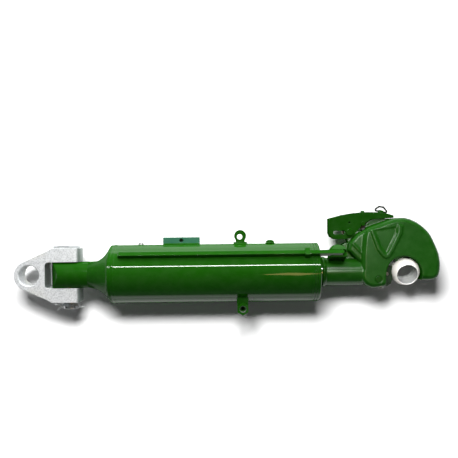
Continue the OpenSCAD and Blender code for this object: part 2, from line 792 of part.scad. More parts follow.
module rope_ring() {
    color([0.2, 0.22, 0.2])
    at_hook() at_ring() for (i = [0 : 3]) {
        a = ring_p[i];
        b = ring_p[(i + 1) % 4];
        c = ring_p[(i + 2) % 4];
        half = half_angle(a, b, c);
        next = half_angle(b, c, ring_p[(i + 3) % 4]);
        start = b + unit(b, c) * (ring_bend / tan(half) - 0.3);
        end = c + unit(c, b) * (ring_bend / tan(next) - 0.3);
        centre = b + (unit(b, a) + unit(b, c)) / (2 * cos(half)) * ring_bend / sin(half);
        touch = b + unit(b, a) * ring_bend / tan(half) - centre;
        translate(start) rotate([0, 0, atan2(end[1] - start[1], end[0] - start[0])])
            xcyl(ring_wire_r, 0, norm(end - start));
        translate(centre) rotate([0, 0, atan2(touch[1], touch[0])])
            rotate_extrude(angle = 180 - 2 * half)
                translate([ring_bend, 0]) circle(r = ring_wire_r + 0.1);
    }
}

module hook_ball() {
    half = ball_width / 2;
    color([0.85, 0.84, 0.8])
    at_hook() rotate([ball_tilt, 0, 0]) difference() {
        intersection() {
            sphere(r = ball_r, $fn = 96);
            cylinder(h = ball_width, r = ball_r + 5, center = true);
        }
        zcyl(ball_bore / 2, 60);
        for (m = [0, 1]) mirror([0, 0, m])
            translate([0, 0, half - 0.8]) cylinder(h = 1, r1 = ball_bore / 2, r2 = ball_bore / 2 + 1);
    }
}

barrel_tube();
neck_forging();
neck_bush();
base_weld();
gland_head();
gland_oring();
rod_seal();
rod_wiper();
rod_guide_ring();
hose_tab();
ring_lug();
top_screw();
base_port_plug();
port_saddle();
elbow_fitting();
oil_pipe();
rod_end_boss();
bar_clip();
grease_nipple();
yoke_fork();
pivot_pin();
pin_washer();
castle_nut();
split_pin();
piston_rod();
piston();
piston_seal();
piston_rings();
stem_oring();
piston_nut();
hook_forging();
shank_weld();
key_bar();
bar_lug();
lever_pin();
pawl_pin();
stop_screw();
release_lever();
lever_spring();
roof_rivet();
lever_link_pin();
latch_link();
latch_pawl();
pawl_link_pin();
rope_ring();
hook_ball();
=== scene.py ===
"""Looks of the hydraulic top link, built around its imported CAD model."""
import logging
import math
from dataclasses import dataclass, field
from enum import Enum
from typing import Callable, Sequence

import bmesh
import bpy
from mathutils import Matrix, Vector, noise


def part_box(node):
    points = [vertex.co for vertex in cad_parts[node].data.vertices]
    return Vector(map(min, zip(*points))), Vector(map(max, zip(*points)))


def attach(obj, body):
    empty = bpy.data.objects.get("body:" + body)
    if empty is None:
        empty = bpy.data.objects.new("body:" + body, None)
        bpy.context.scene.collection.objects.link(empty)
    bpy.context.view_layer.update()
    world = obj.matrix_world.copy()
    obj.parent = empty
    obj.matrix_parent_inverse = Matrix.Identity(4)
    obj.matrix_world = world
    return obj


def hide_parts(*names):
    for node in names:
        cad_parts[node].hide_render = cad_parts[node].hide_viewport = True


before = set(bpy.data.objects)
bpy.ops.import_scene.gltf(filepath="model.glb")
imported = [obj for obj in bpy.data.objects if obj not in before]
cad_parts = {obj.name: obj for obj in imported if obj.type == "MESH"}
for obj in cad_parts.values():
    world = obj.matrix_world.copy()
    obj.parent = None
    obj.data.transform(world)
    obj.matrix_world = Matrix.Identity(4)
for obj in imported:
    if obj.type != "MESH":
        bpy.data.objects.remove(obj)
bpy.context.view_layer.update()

MM = 0.001
RING_TURN = 6.283
LOG = logging.getLogger("top_link")
Point = Sequence[float]
Colour = tuple[float, float, float]
NODES: dict[str, bpy.types.Object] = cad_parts


# Shader maths

class Sock:
    """An output socket that takes part in arithmetic."""

    def __init__(self, graph: "Graph", socket: bpy.types.NodeSocket) -> None:
        """Keeps the graph and the socket.

        Args:
            graph: The graph that the socket belongs to.
            socket: The output socket.
        """
        self.graph = graph
        self.socket = socket

    def maths(self, operation: str, *values: "Value") -> "Sock":
        """Runs a Math node on the given values.

        Args:
            operation: The Math node's operation.
            values: Its inputs in order.

        Returns:
            The result.
        """
        return self.graph.node("ShaderNodeMath", {"operation": operation}, dict(enumerate(values)))

    def __add__(self, other: "Value") -> "Sock":
        """Sum."""
        return self.maths("ADD", self, other)

    def __sub__(self, other: "Value") -> "Sock":
        """Difference."""
        return self.maths("SUBTRACT", self, other)

    def __rsub__(self, other: "Value") -> "Sock":
        """Difference with the number first."""
        return self.maths("SUBTRACT", other, self)

    def __mul__(self, other: "Value") -> "Sock":
        """Product."""
        return self.maths("MULTIPLY", self, other)

    __radd__ = __add__
    __rmul__ = __mul__

    def root(self) -> "Sock":
        """Square root."""
        return self.maths("SQRT", self)

    def sine(self) -> "Sock":
        """Sine."""
        return self.maths("SINE", self)

    def step(self, low: float, high: float, out_low: float = 0.0, out_high: float = 1.0) -> "Sock":
        """Smooth step between two values.

        Args:
            low: Value at which the step starts.
            high: Value at which it ends.
            out_low: Result below the start.
            out_high: Result above the end.

        Returns:
            The stepped value.
        """
        return self.graph.node(
            "ShaderNodeMapRange", {"interpolation_type": "SMOOTHSTEP"},
            {"Value": self, "From Min": low, "From Max": high, "To Min": out_low, "To Max": out_high})


Value = Sock | float


class Graph:
    """A material's node tree, filled through one general method."""

    def __init__(self, tree: bpy.types.NodeTree) -> None:
        """Starts with an empty tree.

        Args:
            tree: The node tree to fill.
        """
        self.tree = tree
        self.tree.nodes.clear()

    def node(self, kind: str, settings: dict | None = None,
             sockets: dict | None = None, out: int | str = 0) -> Sock:
        """Adds any node.

        Args:
            kind: The node's type name.
            settings: Attributes that are set first; "stops" holds a ramp's (position, colour).
            sockets: Values or links of its inputs by name or number.
            out: The output that is returned.

        Returns:
            The chosen output.
        """
        made = self.tree.nodes.new(kind)
        for key, value in (settings or {}).items():
            if key == "stops":
                ramp = made.color_ramp
                while len(ramp.elements) < len(value):
                    ramp.elements.new(1.0)
                for element, (place, colour) in zip(ramp.elements, value):
                    element.position = place
                    element.color = (*colour, 1.0)
            else:
                setattr(made, key, value)
        for key, value in (sockets or {}).items():
            if isinstance(value, Sock):
                self.tree.links.new(value.socket, made.inputs[key])
            elif value is not None:
                target = made.inputs[key]
                whole = target.type == "RGBA" and len(value) == 3
                target.default_value = (*value, 1.0) if whole else value
        return Sock(self, made.outputs[out]) if made.outputs else Sock(self, None)

    def place(self, at: Point = (0, 0, 0), turn: Point = (0, 0, 0), stretch: Point = (1, 1, 1)) -> Sock:
        """Object coordinates seen from a place on the piece.

        Args:
            at: The pattern's own origin, in metres.
            turn: Its turn, as Euler angles in radians.
            stretch: Factors for the three axes of the result.

        Returns:
            The coordinates.
        """
        point = self.node("ShaderNodeTexCoord", out="Object")
        if any(at) or any(turn):
            point = self.node("ShaderNodeMapping", {"vector_type": "TEXTURE"},
                              {"Vector": point, "Location": at, "Rotation": turn})
        if any(s != 1 for s in stretch):
            point = self.node("ShaderNodeVectorMath", {"operation": "MULTIPLY"}, {0: point, 1: stretch})
        return point

    def parts(self, vector: Sock) -> tuple[Sock, Sock, Sock]:
        """Splits a vector.

        Args:
            vector: The vector.

        Returns:
            Its X, Y and Z.
        """
        split = self.node("ShaderNodeSeparateXYZ", None, {0: vector})
        outputs = split.socket.node.outputs
        return Sock(self, outputs[0]), Sock(self, outputs[1]), Sock(self, outputs[2])

    def noise(self, point: Sock, per_metre: float, detail: float = 2.0, rough: float = 0.5) -> Sock:
        """Soft noise of a given scale.

        Args:
            point: Coordinates.
            per_metre: Cells in a metre.
            detail: Octaves.
            rough: Weight of the finer octaves.

        Returns:
            Noise about 0.5.
        """
        return self.node("ShaderNodeTexNoise", None, {
            "Vector": point, "Scale": per_metre, "Detail": detail, "Roughness": rough})

    def cells(self, point: Sock, per_metre: float) -> Sock:
        """Voronoi cells of a given scale.

        Args:
            point: Coordinates.
            per_metre: Cells in a metre.

        Returns:
            The distance to the nearest cell's point.
        """
        return self.node("ShaderNodeTexVoronoi", None, {"Vector": point, "Scale": per_metre}, "Distance")

    def blend(self, factor: Value, first: Sock | Colour, second: Sock | Colour) -> Sock:
        """Mixes two colours.

        Args:
            factor: Share of the second.
            first: First colour.
            second: Second colour.

        Returns:
            The mixed colour.
        """
        return self.node("ShaderNodeMix", {"data_type": "RGBA"}, {0: factor, 6: first, 7: second}, 2)

    def bump(self, height: Value, depth: float, strength: float = 1.0, under: Sock | None = None) -> Sock:
        """Turns a height into a normal.

        Args:
            height: Height from 0 to 1.
            depth: Real depth of that range, in metres.
            strength: Strength of the effect.
            under: Normal that the bump is laid on.

        Returns:
            The bumped normal.
        """
        return self.node("ShaderNodeBump", None, {
            "Height": height, "Distance": depth, "Strength": strength, "Normal": under})

    def edges(self, radius: float, low: float = 0.02, high: float = 0.2) -> Sock:
        """Mask of the edges, where paint and plating wear, and where the enamel gets a painted edge
        highlight.

        Args:
            radius: Reach of the mask from the edge, in metres.
            low: Turn of the normal at which it starts.
            high: Turn at which it is full.

        Returns:
            The mask.
        """
        soft = self.node("ShaderNodeBevel", {"samples": 4}, {"Radius": radius})
        plain = self.node("ShaderNodeNewGeometry", out="Normal")
        dot = self.node("ShaderNodeVectorMath", {"operation": "DOT_PRODUCT"}, {0: soft, 1: plain}, "Value")
        return (1 - dot).step(low, high)

    def upward(self) -> Sock:
        """Z of the true normal."""
        return self.parts(self.node("ShaderNodeNewGeometry", out="Normal"))[2]


@dataclass
class Look:
    """What varies over a surface, and its constants."""

    colour: Sock
    rough: Value
    metal: Value = 0.0
    normal: Sock | None = None
    coat: Value = 0.0
    coat_rough: float = 0.04
    specular: float = 0.5


@dataclass(frozen=True)
class Finish:
    """What every finish shares."""

    name: str

    def look(self, g: Graph) -> Look:
        """The finish as nodes.

        Args:
            g: Graph to build in.

        Returns:
            The look.
        """
        raise NotImplementedError

    def material(self) -> bpy.types.Material:
        """The Blender material, made on first use.

        Returns:
            The material.
        """
        found = bpy.data.materials.get(self.name)
        if found is not None:
            return found
        made = bpy.data.materials.new(self.name)
        made.use_nodes = True
        g = Graph(made.node_tree)
        look = self.look(g)
        shader = g.node("ShaderNodeBsdfPrincipled", None, {
            "Base Color": look.colour, "Roughness": look.rough, "Metallic": look.metal,
            "Normal": look.normal, "Coat Weight": look.coat, "Coat Roughness": look.coat_rough,
            "Specular IOR Level": look.specular})
        g.node("ShaderNodeOutputMaterial", None, {"Surface": shader})
        return made


@dataclass(frozen=True)
class Enamel(Finish):
    """Glossy sprayed enamel over steel, with the casting's skin showing through."""

    colour: Colour = (0.0088, 0.083, 0.0022)
    shade: Colour = (0.0078, 0.075, 0.0020)
    skin: float = 0.25
    rough: float = 0.22
    wear: float = 0.5
    gloss: float = 0.6
    gloss_rough: float = 0.04
    sheen: float = 0.0

    def look(self, g: Graph) -> Look:
        """See Finish.look."""
        point = g.place()
        broad = g.noise(point, 9.0, 2.0)
        cloud = g.noise(point, 55.0, 3.0)
        fine = g.noise(point, 620.0, 2.0)
        speck = g.cells(point, 420.0)
        tone = (broad * 0.6 + cloud * 0.4).step(0.3, 0.7)
        colour = g.blend(tone, self.shade, self.colour)
        dust = (cloud * 0.7 + g.upward().step(0.2, 1.0) * 0.3).step(0.5, 0.85) * 0.02
        colour = g.blend(dust, colour, (0.30, 0.36, 0.24))
        edge = g.edges(1.6 * MM)
        chip = (edge * (fine * 0.5 + cloud * 0.9)).step(0.62, 0.78) * self.wear
        nick = (1 - speck).step(0.93, 0.97) * cloud.step(0.6, 0.72) * self.wear
        bare = chip.maths("MAXIMUM", chip, nick)
        # Painted edge highlight: every edge of the enamel is lightened towards a paler green.
        colour = g.blend(edge * 0.35, colour, (0.020, 0.165, 0.012))
        colour = g.blend(bare, colour, (0.16, 0.17, 0.15))
        low = 1 - g.upward().step(0.05, 0.5)
        rough = self.rough + cloud * 0.06 + dust * 2.0 + bare * 0.3 + low * 0.6
        skin = g.noise(point, 170.0, 3.0, 0.6)
        peel = g.noise(point, 420.0, 1.0)
        normal = g.bump(skin, 0.5 * MM * self.skin)
        normal = g.bump(peel, 0.035 * MM, 1.0, normal)
        normal = g.bump(1 - bare, 0.06 * MM, 0.8, normal)
        coat = (1 - bare) * (1 - low) * self.gloss
        return Look(colour, rough, bare * 0.5, normal, coat, self.gloss_rough, self.sheen)


@dataclass(frozen=True)
class ZincPlate(Finish):
    """Bright zinc over forged steel, mottled and slightly yellow."""

    light: Colour = (0.88, 0.905, 0.92)
    dark: Colour = (0.52, 0.545, 0.555)
    metal: float = 0.12
    rough: float = 0.36
    # ends: share of the painted shade and painted green reflection on faces that face +X
    ends: float = 0.0

    def look(self, g: Graph) -> Look:
        """See Finish.look."""
        point = g.place()
        broad = g.noise(point, 14.0, 3.0)
        blotch = g.noise(point, 120.0, 4.0, 0.65)
        grain = g.noise(point, 900.0, 2.0)
        spangle = g.cells(point, 300.0)
        tone = (blotch * 0.55 + grain * 0.3 + spangle * 0.35).step(0.32, 0.78)
        colour = g.blend(tone, self.dark, self.light)
        tint = broad.step(0.5, 0.8) * (1 - g.parts(point)[0].step(0.0, 0.06)) * 0.5
        colour = g.blend(tint, colour, (0.70, 0.66, 0.48))
        edge = g.edges(1.4 * MM)
        colour = g.blend(edge * 0.7, colour, (0.86, 0.86, 0.84))
        nick = (blotch * 0.5 + grain * 0.5).step(0.63, 0.70)
        colour = g.blend(nick * 0.5, colour, (0.33, 0.35, 0.35))
        # Painted shade and painted reflection: faces that face +X beyond x = 0.03 m, the arms' ends, turn
        # dark grey-green like the barrel they face.
        facing = g.parts(g.node("ShaderNodeNewGeometry", out="Normal"))[0].step(0.35, 0.8)
        beyond = g.parts(point)[0].step(0.030, 0.036)
        colour = g.blend(facing * beyond * self.ends, colour, (0.10, 0.135, 0.12))
        rough = self.rough + blotch * 0.2 - edge * 0.15 + nick * 0.15
        normal = g.bump(g.noise(point, 210.0, 4.0, 0.6), 0.10 * MM)
        normal = g.bump(grain, 0.03 * MM, 1.0, normal)
        return Look(colour, rough, self.metal + edge * 0.3, normal)


@dataclass(frozen=True)
class TurnedSteel(Finish):
    """Steel with the fine rings of a lathe about an axis."""

    colour: Colour = (0.50, 0.50, 0.50)
    rough: float = 0.3
    axis: Point = (1, 0, 0)
    centre: Point = (0, 0, 0)
    rings: float = 1400.0
    depth: float = 0.012
    metal: float = 0.95
    oil: float = 0.4

    def look(self, g: Graph) -> Look:
        """See Finish.look."""
        point = g.place(self.centre)
        x, y, z = g.parts(point)
        along = x * self.axis[0] + y * self.axis[1] + z * self.axis[2]
        off = x * x + y * y + z * z - along * along
        ring = ((along + off.maths("ABSOLUTE", off).root()) * self.rings * RING_TURN).sine() * 0.5 + 0.5
        cloud = g.noise(point, 70.0, 3.0)
        grain = g.noise(point, 1100.0, 2.0)
        tone = (cloud * 0.7 + grain * 0.3).step(0.3, 0.7)
        dark = tuple(c * 0.6 for c in self.colour)
        colour = g.blend(tone, dark, self.colour)
        stain = g.noise(point, 33.0, 4.0, 0.7).step(0.55, 0.7) * self.oil
        colour = g.blend(stain, colour, (0.07, 0.06, 0.045))
        edge = g.edges(0.8 * MM)
        colour = g.blend(edge * 0.5, colour, (0.75, 0.75, 0.74))
        rough = self.rough + cloud * 0.12 + ring * 0.05 - stain * 0.1
        normal = g.bump(ring * 0.6 + grain * 0.4, self.depth * MM)
        return Look(colour, rough, self.metal, normal)


@dataclass(frozen=True)
class BallPlate(Finish):
    """Cream nickel on the ball's sphere, polished in its bore."""

    centre: Point = (0.8388, 0, 0)
    tilt: float = math.radians(20)
    bore: float = 0.0225
    face: float = 0.0212
    rings: float = 1500.0

    def look(self, g: Graph) -> Look:
        """See Finish.look."""
        point = g.place(self.centre, (self.tilt, 0, 0))
        x, y, z = g.parts(point)
        radius = (x * x + y * y).root()
        bore = 1 - radius.step(self.bore + 0.0001, self.bore + 0.0009)
        flat = z.maths("ABSOLUTE", z).step(self.face, self.face + 0.0002) * (1 - bore)
        cloud = g.noise(point, 60.0, 3.0)
        grain = g.noise(point, 700.0, 3.0)
        ring = (radius * self.rings * RING_TURN).sine() * 0.5 + 0.5
        drag = g.noise(g.place(self.centre, (self.tilt, 0, 0), (60, 60, 500)), 1.0, 2.0)
        cream = g.blend((cloud * 0.6 + grain * 0.4).step(0.3, 0.7), (0.84, 0.82, 0.74), (0.94, 0.93, 0.88))
        cream = g.blend(flat * 0.6, cream, (0.93, 0.92, 0.90))
        steel = g.blend(drag.step(0.35, 0.7), (0.60, 0.61, 0.60), (0.82, 0.83, 0.82))
        colour = g.blend(bore, cream, steel)
        rub = g.noise(point, 90.0, 4.0, 0.7).step(0.6, 0.72) * (1 - bore) * 0.35
        colour = g.blend(rub, colour, (0.40, 0.39, 0.36))
        rough = 0.30 + cloud * 0.1 - bore * 0.12 + rub * 0.2
        metal = 0.2 + bore * 0.3
        normal = g.bump(ring * flat + grain * 0.5 + drag * bore * 0.8, 0.014 * MM)
        return Look(colour, rough, metal, normal)


@dataclass(frozen=True)
class Chrome(Finish):
    """Ground and polished hard chrome."""

    def look(self, g: Graph) -> Look:
        """See Finish.look."""
        point = g.place()
        cloud = g.noise(point, 40.0, 3.0)
        ground = g.noise(g.place(stretch=(900, 60, 60)), 1.0, 2.0)
        colour = g.blend(cloud.step(0.3, 0.7), (0.72, 0.73, 0.75), (0.84, 0.85, 0.87))
        film = g.noise(point, 25.0, 4.0).step(0.55, 0.75) * 0.15
        colour = g.blend(film, colour, (0.45, 0.38, 0.22))
        normal = g.bump(ground, 0.004 * MM)
        return Look(colour, 0.08 + cloud * 0.06 + film * 0.5, 1.0, normal)


@dataclass(frozen=True)
class DarkSteel(Finish):
    """Forged steel under thin dark paint, bright where it rubs."""

    colour: Colour = (0.018, 0.040, 0.018)
    bright: Colour = (0.30, 0.32, 0.30)

    def look(self, g: Graph) -> Look:
        """See Finish.look."""
        point = g.place()
        cloud = g.noise(point, 90.0, 4.0, 0.6)
        grain = g.noise(point, 700.0, 3.0)
        lifted = tuple(c * 1.9 for c in self.colour)
        colour = g.blend((cloud * 0.6 + grain * 0.4).step(0.3, 0.7), self.colour, lifted)
        edge = g.edges(1.0 * MM)
        rub = (edge * 0.6 + cloud * 0.55).step(0.55, 0.8) * 0.75
        colour = g.blend(rub, colour, self.bright)
        normal = g.bump(g.noise(point, 260.0, 3.0), 0.10 * MM)
        normal = g.bump(grain, 0.02 * MM, 1.0, normal)
        return Look(colour, 0.42 + cloud * 0.15 - rub * 0.12, 0.3 + rub * 0.6, normal)


@dataclass(frozen=True)
class SpringWire(Finish):
    """Drawn spring wire with a thin brown film."""

    colour: Colour = (0.36, 0.27, 0.18)

    def look(self, g: Graph) -> Look:
        """See Finish.look."""
        point = g.place()
        cloud = g.noise(point, 160.0, 3.0)
        grain = g.noise(point, 1300.0, 2.0)
        colour = g.blend(cloud.step(0.35, 0.7), self.colour, (0.52, 0.46, 0.38))
        colour = g.blend(grain.step(0.58, 0.7) * 0.5, colour, (0.16, 0.10, 0.06))
        return Look(colour, 0.34 + cloud * 0.15, 0.85, g.bump(grain, 0.01 * MM))


@dataclass(frozen=True)
class Elastomer(Finish):
    """Moulded rubber or polyurethane."""

    colour: Colour = (0.02, 0.02, 0.02)
    rough: float = 0.5

    def look(self, g: Graph) -> Look:
        """See Finish.look."""
        point = g.place()
        cloud = g.noise(point, 80.0, 3.0)
        grain = g.noise(point, 1500.0, 2.0)
        lifted = tuple(c * 1.6 + 0.01 for c in self.colour)
        colour = g.blend(cloud.step(0.3, 0.7), self.colour, lifted)
        colour = g.blend(grain.step(0.62, 0.75) * 0.2, colour, (0.25, 0.25, 0.24))
        return Look(colour, self.rough + cloud * 0.1, 0.0, g.bump(grain, 0.01 * MM))


@dataclass(frozen=True)
class Woven(Finish):
    """Fabric-filled plastic of the guide rings."""

    def look(self, g: Graph) -> Look:
        """See Finish.look."""
        x, y, z = g.parts(g.place())
        weave = (x * 5200.0).sine() * (z * 5200.0).sine() * 0.5 + 0.5
        cloud = g.noise(g.place(), 70.0, 3.0)
        colour = g.blend(weave * 0.6 + cloud * 0.4, (0.16, 0.09, 0.035), (0.33, 0.21, 0.09))
        return Look(colour, 0.5 + cloud * 0.1, 0.0, g.bump(weave, 0.02 * MM))


GREEN = Enamel("green_enamel", skin=0.07)
GREEN_FORGED = Enamel("green_enamel_forged", skin=0.4, wear=0.6, gloss=0.3, gloss_rough=0.1)
# Same green enamel as GREEN, its colour darkened as painted shade on the release lever, its rivet and pins.
GREEN_LEVER_SHADED = Enamel("green_enamel_lever_shaded", colour=(0.0070, 0.064, 0.0018), shade=(0.0056, 0.053, 0.0015),
                     skin=0.2, wear=0.6, gloss=0.4, gloss_rough=0.12)
# Same green enamel on a rougher cast skin, its colour darkened as painted shade on the hook forging and the
# pawl pin.
GREEN_HOOK_SHADED = Enamel("green_enamel_hook_shaded", colour=(0.0070, 0.066, 0.0020), shade=(0.0055, 0.053, 0.0016),
                    skin=0.5, rough=0.40, wear=0.6, gloss=0.55, gloss_rough=0.24)
GREEN_WELD = Enamel("green_enamel_weld", skin=0.9, rough=0.26, wear=0.3)
TEAL = Enamel("teal_enamel", colour=(0.022, 0.16, 0.085), shade=(0.018, 0.13, 0.07), skin=0.35, rough=0.4,
              gloss=0.4, gloss_rough=0.15, sheen=0.5)
# The forged yoke gets the painted shade and reflection on its arms' ends.
ZINC = ZincPlate("zinc_plate_forged", ends=0.85)
ZINC_PIN = ZincPlate("zinc_plate_pin", light=(0.50, 0.52, 0.53), dark=(0.26, 0.275, 0.28), metal=0.3)
ZINC_DARK = ZincPlate("zinc_plate_fastener", light=(0.42, 0.44, 0.45), dark=(0.20, 0.21, 0.22), metal=0.85,
                      rough=0.26)
WIRE_ZINC = ZincPlate("zinc_plate_wire", light=(0.80, 0.82, 0.83), dark=(0.60, 0.62, 0.63), metal=0.6,
                      rough=0.3)
BRIGHT = TurnedSteel("bright_screw_steel", colour=(0.80, 0.80, 0.78), rough=0.22, axis=(0, 1, 0),
                     centre=(0.7843, 0, 0), oil=0.1)
TURNED = TurnedSteel("turned_steel")
PIN_STEEL = TurnedSteel("turned_pin_steel", axis=(0, 0, 1), centre=(0.7958, -0.0059, 0), oil=0.5)
CHROME = Chrome("hard_chrome_rod")
BALL = BallPlate("ball_plate")
DARK = DarkSteel("dark_forged_steel")
BLACK = DarkSteel("black_wire", colour=(0.008, 0.012, 0.008), bright=(0.10, 0.12, 0.10))
LINK_STEEL = DarkSteel("link_steel", colour=(0.11, 0.11, 0.11))
SPRING = SpringWire("spring_wire")
NITRILE = Elastomer("nitrile_rubber")
URETHANE = Elastomer("blue_polyurethane", colour=(0.03, 0.06, 0.30), rough=0.32)
GUIDE = Woven("guide_fabric")
BRONZE = TurnedSteel("bush_bronze_turned", colour=(0.62, 0.42, 0.16), axis=(0, 1, 0),
                     centre=(0.088, 0, 0), rough=0.3)


# Shaping

class Form:
    """A mesh that is shaped in millimetres and becomes one piece in metres."""

    def __init__(self) -> None:
        """Starts empty."""
        self.bm = bmesh.new()

    def lathe(self, profile: Sequence[tuple[float, float]], steps: int) -> "Form":
        """Spins a closed profile about the X axis.

        Args:
            profile: Points as (x, radius).
            steps: Number of steps of the full turn.

        Returns:
            The form itself.
        """
        verts = [self.bm.verts.new((x, 0, r)) for x, r in profile]
        edges = [self.bm.edges.new(pair) for pair in zip(verts, verts[1:] + verts[:1])]
        bmesh.ops.spin(self.bm, geom=verts + edges, cent=(0, 0, 0), axis=(1, 0, 0),
                       angle=math.tau, steps=steps, use_merge=True)
        return self

    def sweep(self, section: Sequence[tuple[float, float]], frames: Sequence[Matrix]) -> "Form":
        """Draws a closed section along a row of frames and closes both ends.

        Args:
            section: Points of the section in a frame's XY plane.
            frames: Frames whose Z points along the path.

        Returns:
            The form itself.
        """
        bm = bmesh.new()
        verts = [bm.verts.new(frames[0] @ Vector((x, y, 0))) for x, y in section]
        edges = [bm.edges.new(pair) for pair in zip(verts, verts[1:] + verts[:1])]
        first = edges
        for before, after in zip(frames, frames[1:]):
            made = bmesh.ops.extrude_edge_only(bm, edges=edges)["geom"]
            moved = [v for v in made if isinstance(v, bmesh.types.BMVert)]
            bmesh.ops.transform(bm, matrix=after @ before.inverted(), space=Matrix.Identity(4), verts=moved)
            edges = [e for e in made
                     if isinstance(e, bmesh.types.BMEdge) and all(v in moved for v in e.verts)]
        for loop in (first, edges):
            bmesh.ops.edgeloop_fill(bm, edges=loop)
        bmesh.ops.recalc_face_normals(bm, faces=bm.faces)
        self.join(bm)
        return self

    def join(self, other: bmesh.types.BMesh) -> None:
        """Adds another mesh to this one.

        Args:
            other: The mesh, which is freed.
        """
        mesh = bpy.data.meshes.new("part")
        other.to_mesh(mesh)
        other.free()
        self.bm.from_mesh(mesh)
        bpy.data.meshes.remove(mesh)

    def ripple(self, shift: Callable[[Vector], Vector]) -> "Form":
        """Moves each point.

        Args:
            shift: Gives the move of a point, in millimetres.

        Returns:
            The form itself.
        """
        for vert in self.bm.verts:
            vert.co += shift(vert.co)
        return self

    def piece(self, name: str, finish: Finish, body: str, slot: str,
              replaces: Sequence[str] = (), sharp: float = 35.0) -> bpy.types.Object:
        """Makes the finished piece.

        Args:
            name: Name of the piece.
            finish: Its finish.
            body: CAD body that it rides on.
            slot: Material slot of the record; not used.
            replaces: CAD nodes that it stands for.
            sharp: Angle above which an edge stays sharp, in degrees.

        Returns:
            The object.
        """
        bmesh.ops.remove_doubles(self.bm, verts=self.bm.verts, dist=0.002)
        bmesh.ops.recalc_face_normals(self.bm, faces=self.bm.faces)
        bmesh.ops.scale(self.bm, vec=(MM, MM, MM), verts=self.bm.verts)
        for face in self.bm.faces:
            face.smooth = True
        for edge in self.bm.edges:
            if edge.is_manifold and edge.calc_face_angle(0.0) > math.radians(sharp):
                edge.smooth = False
        mesh = bpy.data.meshes.new(name)
        self.bm.to_mesh(mesh)
        self.bm.free()
        mesh.materials.append(finish.material())
        made = bpy.data.objects.new(name, mesh)
        bpy.context.scene.collection.objects.link(made)
        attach(made, body)
        if replaces:
            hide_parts(*replaces)
        LOG.info("%s: %d faces on %s", name, len(mesh.polygons), body)
        return made


def disc(radius: float, count: int = 12) -> list[tuple[float, float]]:
    """Points of a round section.

    Args:
        radius: Radius.
        count: Number of points.

    Returns:
        The points.
    """
    return [(radius * math.cos(math.tau * i / count), radius * math.sin(math.tau * i / count))
            for i in range(count)]


def facing(at: Vector, side: Vector, ahead: Vector) -> Matrix:
    """Frame at a point of a thread.

    Args:
        at: The point.
        side: Direction of the frame's X.
        ahead: Direction of the frame's Z.

    Returns:
        The frame.
    """
    return Matrix.Translation(at) @ Matrix((side, ahead.cross(side), ahead)).transposed().to_4x4()


def along(points: Sequence[Point], up: Point = (0, 0, 1)) -> list[Matrix]:
    """Frames along a path, without twist about it.

    Args:
        points: The path.
        up: First direction of the frames' Y.

    Returns:
        One frame for each point.
    """
    path = [Vector(p) for p in points]
    side = Vector(up)
    frames = []
    for i, here in enumerate(path):
        ahead = (path[min(i + 1, len(path) - 1)] - path[max(i - 1, 0)]).normalized()
        side = (side - ahead * side.dot(ahead)).normalized()
        cross = side.cross(ahead)
        turn = Matrix((cross, side, ahead)).transposed().to_4x4()
        frames.append(Matrix.Translation(here) @ turn)
    return frames


def bent(points: Sequence[Point], bend: float, steps: int) -> list[Vector]:
    """Rounds the corners of a path.

    Args:
        points: Corners of the path.
        bend: Distance from a corner at which its bend starts.
        steps: Points in each bend.

    Returns:
        The smooth path.
    """
    path = [Vector(p) for p in points]
    made = [path[0]]
    for before, corner, after in zip(path, path[1:], path[2:]):
        start = corner + (before - corner).normalized() * min(bend, (before - corner).length * 0.48)
        end = corner + (after - corner).normalized() * min(bend, (after - corner).length * 0.48)
        for i in range(steps + 1):
            t = i / steps
            made.append(start.lerp(corner, t).lerp(corner.lerp(end, t), t))
    made.append(path[-1])
    return made


def weld_section(width: float, height: float, count: int = 9) -> list[tuple[float, float]]:
    """Open section of a fillet weld, from one leg to the other.

    Args:
        width: Leg on the surface that the frames' X points along.
        height: Leg along the frames' Y.
        count: Number of points.

    Returns:
        The points.
    """
    made = []
    for i in range(count):
        t = i / (count - 1)
        bulge = 0.16 * math.sin(math.pi * t)
        made.append((width * (1 - t + bulge), height * (t + bulge)))
    return made


def weld_bead(form: Form, points: Sequence[Point], up: Point, width: float, height: float,
              pitch: float = 2.6, step: float = 0.65) -> None:
    """Lays a rippled fillet weld along a path.

    Args:
        form: Form to add to.
        points: The corner line between the two parts.
        up: Direction of the leg on the raised part.
        width: Leg on the base.
        height: Leg on the raised part.
        pitch: Length of one ripple.
        step: Distance of the frames along it.
    """
    path = [Vector(p) for p in points]
    fine: list[Vector] = []
    for a, b in zip(path, path[1:]):
        count = max(1, round((b - a).length / step))
        fine += [a.lerp(b, i / count) for i in range(count)]
    fine.append(path[-1])
    frames = along(fine, up)
    run = 0.0
    scaled = []
    for i, matrix in enumerate(frames):
        if i:
            run += (fine[i] - fine[i - 1]).length
        wave = 1.0 + 0.07 * math.sin(math.tau * run / pitch) + 0.05 * noise.noise(fine[i] * 0.23)
        ends = min(1.0, 0.35 + 0.65 * min(i, len(frames) - 1 - i) / 4)
        scaled.append(matrix @ Matrix.Diagonal((wave * ends, wave * ends, 1, 1)))
    section = weld_section(width, height) + [(-0.4 * width, -0.25 * height)]
    form.sweep(section, scaled)


